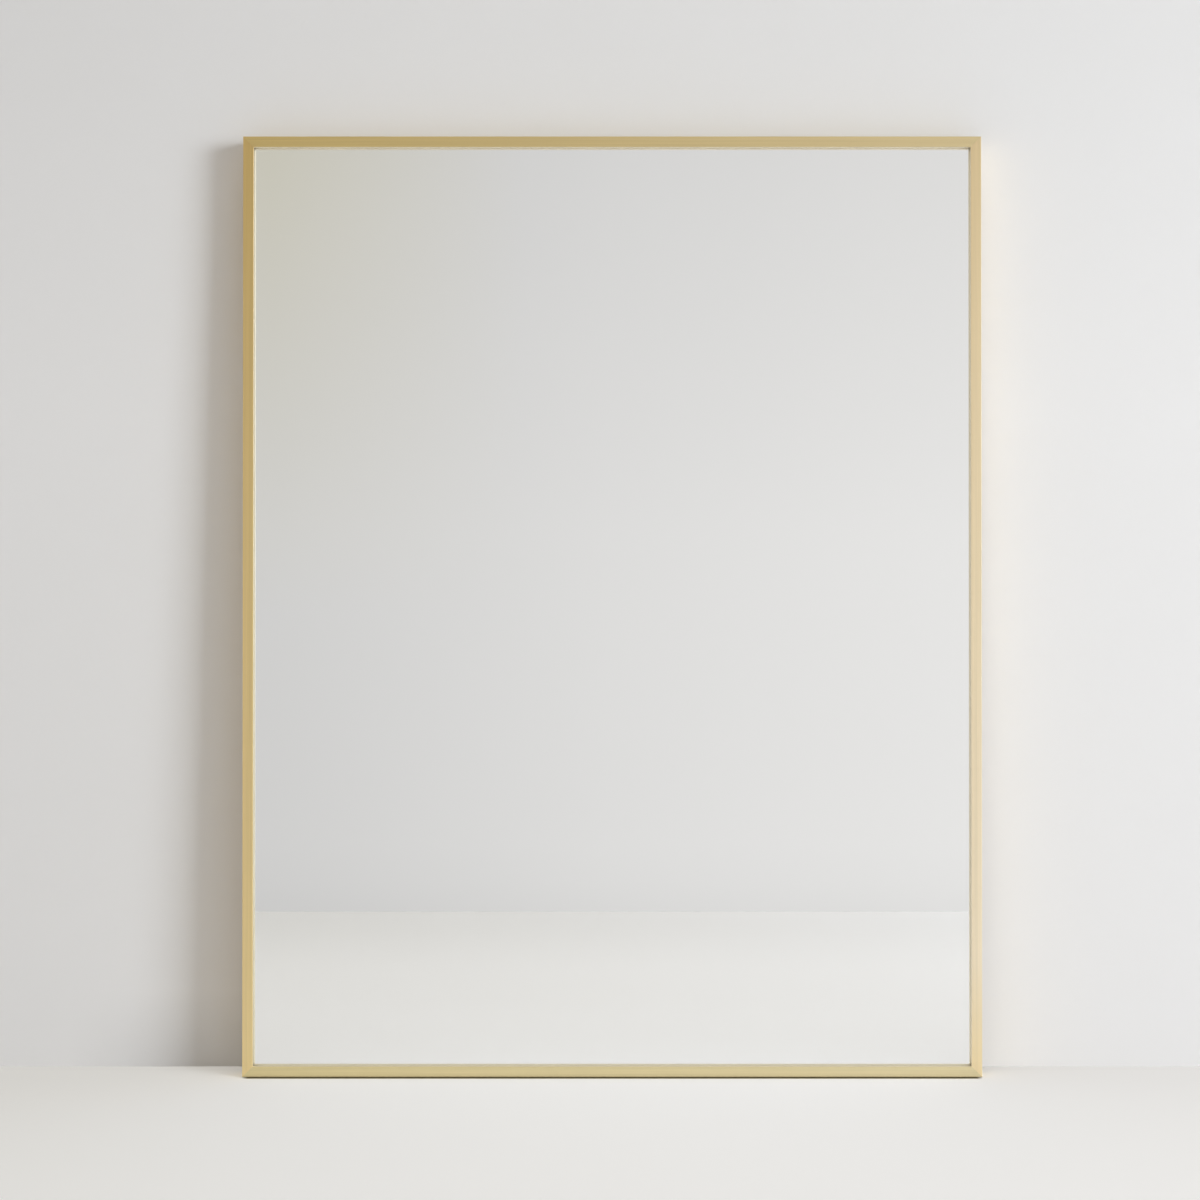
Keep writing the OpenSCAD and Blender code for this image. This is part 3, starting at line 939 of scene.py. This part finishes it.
# %% [markdown]
# Spring clips
#
# Eight strips of blued spring steel are bowed between the board and the rail's web, and push
# the glass forward. The CAD outline follows the bow and the curled toes closely, so its copy is
# enough once its rim is rounded. Blued steel is grey with clouds of blue and straw brown from
# the heat, and it has rolling lines along the strip.

# %% Springs
SPRING_ROUNDING = 0.12 * MM
BLUED_TONES = (0.20, 0.235, 0.31), (0.33, 0.31, 0.29)
HANDS = ("left", "right")
CLIPS = {f"{side}_{hand}": ACROSS for side in ("bottom", "top") for hand in HANDS}
CLIPS |= {f"{hand}_{end}": UPRIGHT for hand in HANDS for end in ("upper", "lower")}


def spring_material(direction):
    """Blued steel with rolling lines along the strip and tints from the heat."""
    material, tree, shader = new_material(f"blued_spring_steel_{direction}", {"Metallic": 1.0})
    lines = drawn_lines(tree, 0.8 * MM, SQUEEZED[direction])
    tint = mixed(tree, clouds(tree, 18 * MM), *BLUED_TONES)
    lined = dimmed(tree, tint, ranged(tree, lines, 0.75, 1.25))
    fill(tree, shader, {"Base Color": lined, "Roughness": ranged(tree, lines, 0.32, 0.50)})
    roughen(tree, shader, lines, 0.3, 0.02 * MM)
    return material


BLUED = {way: ("spring_steel", spring_material(way)) for way in (ACROSS, UPRIGHT)}
springs = [
    rounded_copy(f"bowed_spring_{place}", f"spring_clip_{place}", SPRING_ROUNDING, *BLUED[way])
    for place, way in CLIPS.items()
]
print(len(springs), "springs,", triangles(*springs), "triangles")

# %% [markdown]
# Corner plates and nut plates
#
# Two L plates lie in the channel at each corner, and a short nut plate behind each hanger. They
# are stamped from zinc plated steel: bright and slightly blue, with a dull white bloom in soft
# patches and fine dark specks. Stamping rounds their rims, which the bevel stands for.

# %% Plates
STAMPED_ROUNDING = 0.2 * MM
ZINC_TONES = (0.60, 0.63, 0.67), (0.74, 0.74, 0.73)
ZINC_SPECK = (0.42, 0.43, 0.45)


def zinc_material():
    """Bright plate under a dull bloom, with fine dark specks."""
    material, tree, shader = new_material("zinc_plate", {"Metallic": 1.0})
    bloom = clouds(tree, 9 * MM)
    specks = clouds(tree, 0.6 * MM)
    plated = mixed(tree, bloom, *ZINC_TONES)
    colour = mixed(tree, ranged(tree, specks, 0.0, 0.25), plated, ZINC_SPECK)
    fill(tree, shader, {"Base Color": colour, "Roughness": ranged(tree, bloom, 0.28, 0.50)})
    roughen(tree, shader, specks, 0.2, 0.02 * MM)
    return material


ZINC = "zinc_plated_steel", zinc_material()
CORNERS = {"bottom_left": 0, "top_left": 90, "top_right": 180, "bottom_right": 270}
STAMPED = {
    "threaded_corner_plate": ("corner_key", CORNERS),
    "backing_corner_plate": ("corner_shim", CORNERS),
    "nut_plate": ("hanger_nut", HANDS),
}
plates = [
    rounded_copy(f"{name}_{place}", f"{node}_{place}", STAMPED_ROUNDING, *ZINC)
    for name, (node, places) in STAMPED.items()
    for place in places
]
print(len(plates), "plates,", triangles(*plates), "triangles")

# %% [markdown]
# Threaded screws
#
# A screw thread is one notch carried round and along at the same time. The spin operator does
# that: each step turns the notch and also moves it along the axis. A notch one pitch tall meets
# its own next turn exactly, so merging doubles closes the thread. The rod is then cut to length
# with two planes, its ends are filled, and points near the ends are drawn in to a chamfer. The
# same spin without a rise makes the turned shapes further on.

# %% Thread
PITCH = 0.7 * MM
THREAD_DEPTH = 0.40 * MM
CREST_START, CREST_END = 0.44 * PITCH, 0.56 * PITCH
THREAD_STEPS = 24


def spun(outline, steps, turns=1, rise=0.0):
    """Spins an outline of radius and height about Z, and moves it up by a rise each turn."""
    bm = bmesh.new()
    verts = [bm.verts.new((reach, 0, height)) for reach, height in outline]
    edges = [bm.edges.new(pair) for pair in zip(verts, verts[1:])]
    bmesh.ops.spin(
        bm,
        geom=verts + edges,
        cent=(0, 0, 0),
        axis=(0, 0, 1),
        dvec=(0, 0, rise / steps),
        angle=math.tau * turns,
        steps=steps * turns,
        use_merge=rise == 0,
    )
    bmesh.ops.remove_doubles(bm, verts=bm.verts, dist=WELD)
    return bm


def capped_below(bm, height, way):
    """Cuts a mesh across Z, drops what lies on that way's side and closes the hole."""
    bmesh.ops.bisect_plane(
        bm,
        geom=bm.verts[:] + bm.edges[:] + bm.faces[:],
        dist=WELD,
        plane_co=(0, 0, height),
        plane_no=(0, 0, way),
        clear_outer=True,
    )
    rim = [edge for edge in bm.edges if edge.is_boundary]
    rim = [edge for edge in rim if all(abs(v.co.z - height) < WELD for v in edge.verts)]
    bmesh.ops.holes_fill(bm, edges=rim, sides=0)


def threaded_rod(radius, length, chamfer):
    """A threaded rod along Z, from zero to its length."""
    root = radius - THREAD_DEPTH
    notch = [(root, 0.0), (radius, CREST_START), (radius, CREST_END), (root, PITCH)]
    first = [(reach, height - PITCH) for reach, height in notch]
    bm = spun(first, THREAD_STEPS, math.ceil(length / PITCH) + 2, PITCH)
    capped_below(bm, 0.0, -1)
    capped_below(bm, length, 1)
    for vert in bm.verts:
        reach = math.hypot(vert.co.x, vert.co.y)
        most = radius - chamfer + min(vert.co.z, length - vert.co.z)
        if reach > most:
            vert.co.x *= most / reach
            vert.co.y *= most / reach
    bmesh.ops.recalc_face_normals(bm, faces=bm.faces)
    return bm


def carved(bm, *tools):
    """A bmesh with others cut out of it by Boolean modifiers, which are applied."""
    parts = [bpy.data.objects.new("carving", as_mesh(part, "carving")) for part in (bm, *tools)]
    for part in parts:
        scene.collection.objects.link(part)
    target = parts[0]
    for tool in parts[1:]:
        cut = target.modifiers.new("cut", "BOOLEAN")
        cut.operation = "DIFFERENCE"
        cut.object = tool
    shaped = target.evaluated_get(bpy.context.evaluated_depsgraph_get())
    result = bmesh.new()
    result.from_mesh(shaped.to_mesh())
    shaped.to_mesh_clear()
    for part in parts:
        bpy.data.meshes.remove(part.data)
    return result


# %% [markdown]
# Jack screws
#
# Eight headless screws, two to a corner, are turned with a screwdriver until they wedge the two
# plates apart. One screw is drawn and slotted, and then copied with its turn to the eight
# places. The slot is a Boolean cut, because it crosses the thread at the end.

# %% Jack screws
JACK_PLACE = 28.0 * MM
JACK_SLOT_W = 0.7 * MM
JACK_SLOT_DEPTH = 0.88 * MM
SCREW_RADIUS = 2.0 * MM
SCREW_CHAMFER = 0.4 * MM
BACKWARD = Matrix.Rotation(math.radians(-90), 4, "X")


def jack_screw():
    """One slotted screw along Z, with its slot at the far end."""
    low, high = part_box("jack_screws")
    length = high.y - low.y
    slot = block((3 * SCREW_RADIUS, JACK_SLOT_W, 2 * JACK_SLOT_DEPTH), (0, 0, length))
    return carved(threaded_rod(SCREW_RADIUS, length, SCREW_CHAMFER), slot)


def jack_screws_mesh():
    """All eight screws, one in each arm of the four corner plates."""
    start = depth_to("jack_screws", 0)
    arms = {(JACK_PLACE, start, channel_mid): 0, (channel_mid, start, JACK_PLACE): 90}
    shape = as_mesh(jack_screw(), "one_screw")
    bm = bmesh.new()
    for turn in CORNERS.values():
        corner = side_matrix(turn) @ Matrix.Translation((-rail_length(turn) / 2, 0, 0))
        for place, spin in arms.items():
            before = len(bm.verts)
            bm.from_mesh(shape)
            bm.verts.ensure_lookup_table()
            turned = BACKWARD @ Matrix.Rotation(math.radians(spin), 4, "Z")
            matrix = corner @ Matrix.Translation(place) @ turned
            bmesh.ops.transform(bm, matrix=matrix, verts=bm.verts[before:])
    bpy.data.meshes.remove(shape)
    return bm


jacks = new_piece("corner_jack_screws", jack_screws_mesh(), *ZINC, "jack_screws")
print("jack screws:", triangles(jacks), "triangles")

# %% [markdown]
# Ring hangers
#
# Behind each side rail a ring swings in a strap that curls round it. The strap is held by a pan
# head screw. The parts are nickel plated: warm, bright and brushed only lightly. The strap's
# CAD shape is right and gets rounded rims. The ring is a round wire, bent to a D: a circle is
# carried along a bar, round a bend, down a leg, round the bow and back, by extrusions for the
# straight parts and spins for the bent ones, and the last circle is merged with the first.

# %% Hanger metal
NICKEL_TONES = (0.66, 0.62, 0.55), (0.76, 0.73, 0.68)
NICKEL_SQUEEZE = (1, 1, 0.05)


def nickel_material():
    """Warm bright plate with short upright brush lines."""
    material, tree, shader = new_material("nickel_plate", {"Metallic": 1.0})
    lines = drawn_lines(tree, 0.5 * MM, NICKEL_SQUEEZE)
    colour = mixed(tree, clouds(tree, 4 * MM), *NICKEL_TONES)
    fill(tree, shader, {"Base Color": colour, "Roughness": ranged(tree, lines, 0.14, 0.34)})
    roughen(tree, shader, lines, 0.15, 0.01 * MM)
    return material


NICKEL = "nickel_plated_steel", nickel_material()

# %% Rings and straps
STRAP_ROUNDING = 0.14 * MM
BEND_RADIUS = 1.5 * MM
WIRE_SIDES = 20
BEND_STEPS = 10


def ring_mesh(hand):
    """The ring's wire, drawn from the middle of its bar and back to it."""
    low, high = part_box(f"d_ring_{hand}")
    wire = (high.y - low.y) / 2
    bow = (high.x - low.x) / 2 - wire
    centre_x = (low.x + high.x) / 2
    pivot = Vector((centre_x, (low.y + high.y) / 2, high.z - wire))
    bow_centre = Vector((centre_x, pivot.y, low.z + wire + bow))
    bm = bmesh.new()
    facing_x = Matrix.Translation(pivot) @ Matrix.Rotation(math.radians(90), 4, "Y")
    bmesh.ops.create_circle(bm, radius=wire, segments=WIRE_SIDES, matrix=facing_x)
    rim = bm.edges[:]

    def run(edges, way):
        drawn = bmesh.ops.extrude_edge_only(bm, edges=edges)["geom"]
        moved = [item for item in drawn if isinstance(item, bmesh.types.BMVert)]
        bmesh.ops.translate(bm, vec=way, verts=moved)
        return [item for item in drawn if isinstance(item, bmesh.types.BMEdge)]

    def bend(edges, centre, degrees):
        verts = dict.fromkeys(vert for edge in edges for vert in edge.verts)
        turned = bmesh.ops.spin(
            bm,
            geom=edges + list(verts),
            cent=centre,
            axis=(0, 1, 0),
            angle=math.radians(degrees),
            steps=max(2, round(BEND_STEPS * degrees / 90)),
            use_merge=False,
        )["geom_last"]
        return [item for item in turned if isinstance(item, bmesh.types.BMEdge)]

    half_bar = Vector((bow - BEND_RADIUS, 0, 0))
    leg_down = Vector((0, 0, bow_centre.z - pivot.z + BEND_RADIUS))
    drop = Vector((0, 0, -BEND_RADIUS))
    rim = run(rim, half_bar)
    rim = bend(rim, pivot + half_bar + drop, 90)
    rim = run(rim, leg_down)
    rim = bend(rim, bow_centre, 180)
    rim = run(rim, -leg_down)
    rim = bend(rim, pivot - half_bar + drop, 90)
    run(rim, half_bar)
    return bm


rings = [
    new_piece(
        f"swinging_ring_{hand}", ring_mesh(hand), *NICKEL, f"d_ring_{hand}", body=f"ring_{hand}"
    )
    for hand in HANDS
]
straps = [
    rounded_copy(f"ring_strap_{hand}", f"hanger_strap_{hand}", STRAP_ROUNDING, *NICKEL)
    for hand in HANDS
]
print("rings and straps:", triangles(*rings, *straps), "triangles")

# %% [markdown]
# Hanger screws and wall bumpers
#
# Both are turned shapes: half of their outline, spun once round the axis. The screw's head is a
# shallow dome with a cross recess cut into it, on a threaded rod. The bumpers are soft studs of
# pale rubber with tapered sides. A full spin is merged at its seam, and the rims are rounded
# after the spin, where a bevel can follow whole circles.

# %% Turned shapes
SPIN_STEPS = 48


def turned_shape(outline):
    """A closed shape spun from half an outline of radius and height about Z."""
    bm = spun(outline, SPIN_STEPS)
    bmesh.ops.recalc_face_normals(bm, faces=bm.faces)
    return bm


# %% Hanger screws
HEAD_RADIUS = 3.5 * MM
HEAD_HEIGHT = 2.1 * MM
HEAD_ROUNDING = 0.15 * MM
SHANK_LENGTH = 5.0 * MM
CROSS_LENGTH = 3.5 * MM
CROSS_W = 0.9 * MM
CROSS_DEPTH = 1.2 * MM
DOME_STEPS = 8


def screw_head():
    """A domed head whose flat underside lies at zero, with a cross recess."""
    crown = (HEAD_RADIUS**2 + HEAD_HEIGHT**2) / (2 * HEAD_HEIGHT)
    reach = math.asin(HEAD_RADIUS / crown)
    angles = [reach * step / DOME_STEPS for step in range(DOME_STEPS + 1)]
    dome = [(crown * math.sin(a), HEAD_HEIGHT - crown + crown * math.cos(a)) for a in angles]
    bm = turned_shape(dome + [(0, 0)])
    soften(bm, sharp_edges(bm), HEAD_ROUNDING)
    arms = ((CROSS_LENGTH, CROSS_W), (CROSS_W, CROSS_LENGTH))
    return carved(bm, *[block((*arm, 2 * CROSS_DEPTH), (0, 0, HEAD_HEIGHT)) for arm in arms])


def hanger_screw_mesh(hand):
    """A head with its threaded shank, turned so that it points into the rail."""
    low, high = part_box(f"hanger_screw_{hand}")
    bm = screw_head()
    shank = threaded_rod(SCREW_RADIUS, SHANK_LENGTH + SCREW_CHAMFER, SCREW_CHAMFER)
    bmesh.ops.translate(shank, vec=(0, 0, -SHANK_LENGTH), verts=shank.verts)
    shape = as_mesh(shank, "shank")
    bm.from_mesh(shape)
    bpy.data.meshes.remove(shape)
    under_head = Vector(((low.x + high.x) / 2, high.y - HEAD_HEIGHT, (low.z + high.z) / 2))
    bmesh.ops.transform(bm, matrix=Matrix.Translation(under_head) @ BACKWARD, verts=bm.verts)
    return bm


screws = [
    new_piece(f"pan_head_screw_{hand}", hanger_screw_mesh(hand), *NICKEL, f"hanger_screw_{hand}")
    for hand in HANDS
]
print("hanger screws:", triangles(*screws), "triangles")

# %% Wall bumpers
BUMPER_END_RADIUS = 4.2 * MM
BUMPER_ROUNDING = 0.8 * MM
BUMPER_BASE_ROUNDING = 0.15 * MM
RUBBER_TONES = (0.60, 0.59, 0.55), (0.72, 0.71, 0.67)


def rubber_material():
    """Pale matt rubber under a little dust."""
    material, tree, shader = new_material("pale_rubber", {"Specular IOR Level": 0.4})
    dust = clouds(tree, 3 * MM)
    colour = mixed(tree, dust, *RUBBER_TONES)
    fill(tree, shader, {"Base Color": colour, "Roughness": ranged(tree, dust, 0.45, 0.68)})
    roughen(tree, shader, dust, 0.15, 0.05 * MM)
    return material


def bumper_mesh(corner):
    """A tapered stud that stands on the rear of the frame."""
    low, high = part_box(f"wall_bumper_{corner}")
    base = (high.x - low.x) / 2
    height = high.y - low.y
    bm = turned_shape([(0, 0), (base, 0), (BUMPER_END_RADIUS, height), (0, height)])
    end_rim = [edge for edge in sharp_edges(bm) if edge.verts[0].co.z > height / 2]
    soften(bm, end_rim, BUMPER_ROUNDING, segments=5)
    base_rim = [edge for edge in sharp_edges(bm) if edge.verts[0].co.z < height / 4]
    soften(bm, base_rim, BUMPER_BASE_ROUNDING)
    foot = Vector(((low.x + high.x) / 2, low.y, (low.z + high.z) / 2))
    bmesh.ops.transform(bm, matrix=Matrix.Translation(foot) @ BACKWARD, verts=bm.verts)
    return bm


RUBBER = "rubber", rubber_material()
bumpers = [
    new_piece(f"rubber_bumper_{corner}", bumper_mesh(corner), *RUBBER, f"wall_bumper_{corner}")
    for corner in CORNERS
]
print(len(bumpers), "bumpers,", triangles(*bumpers), "triangles")
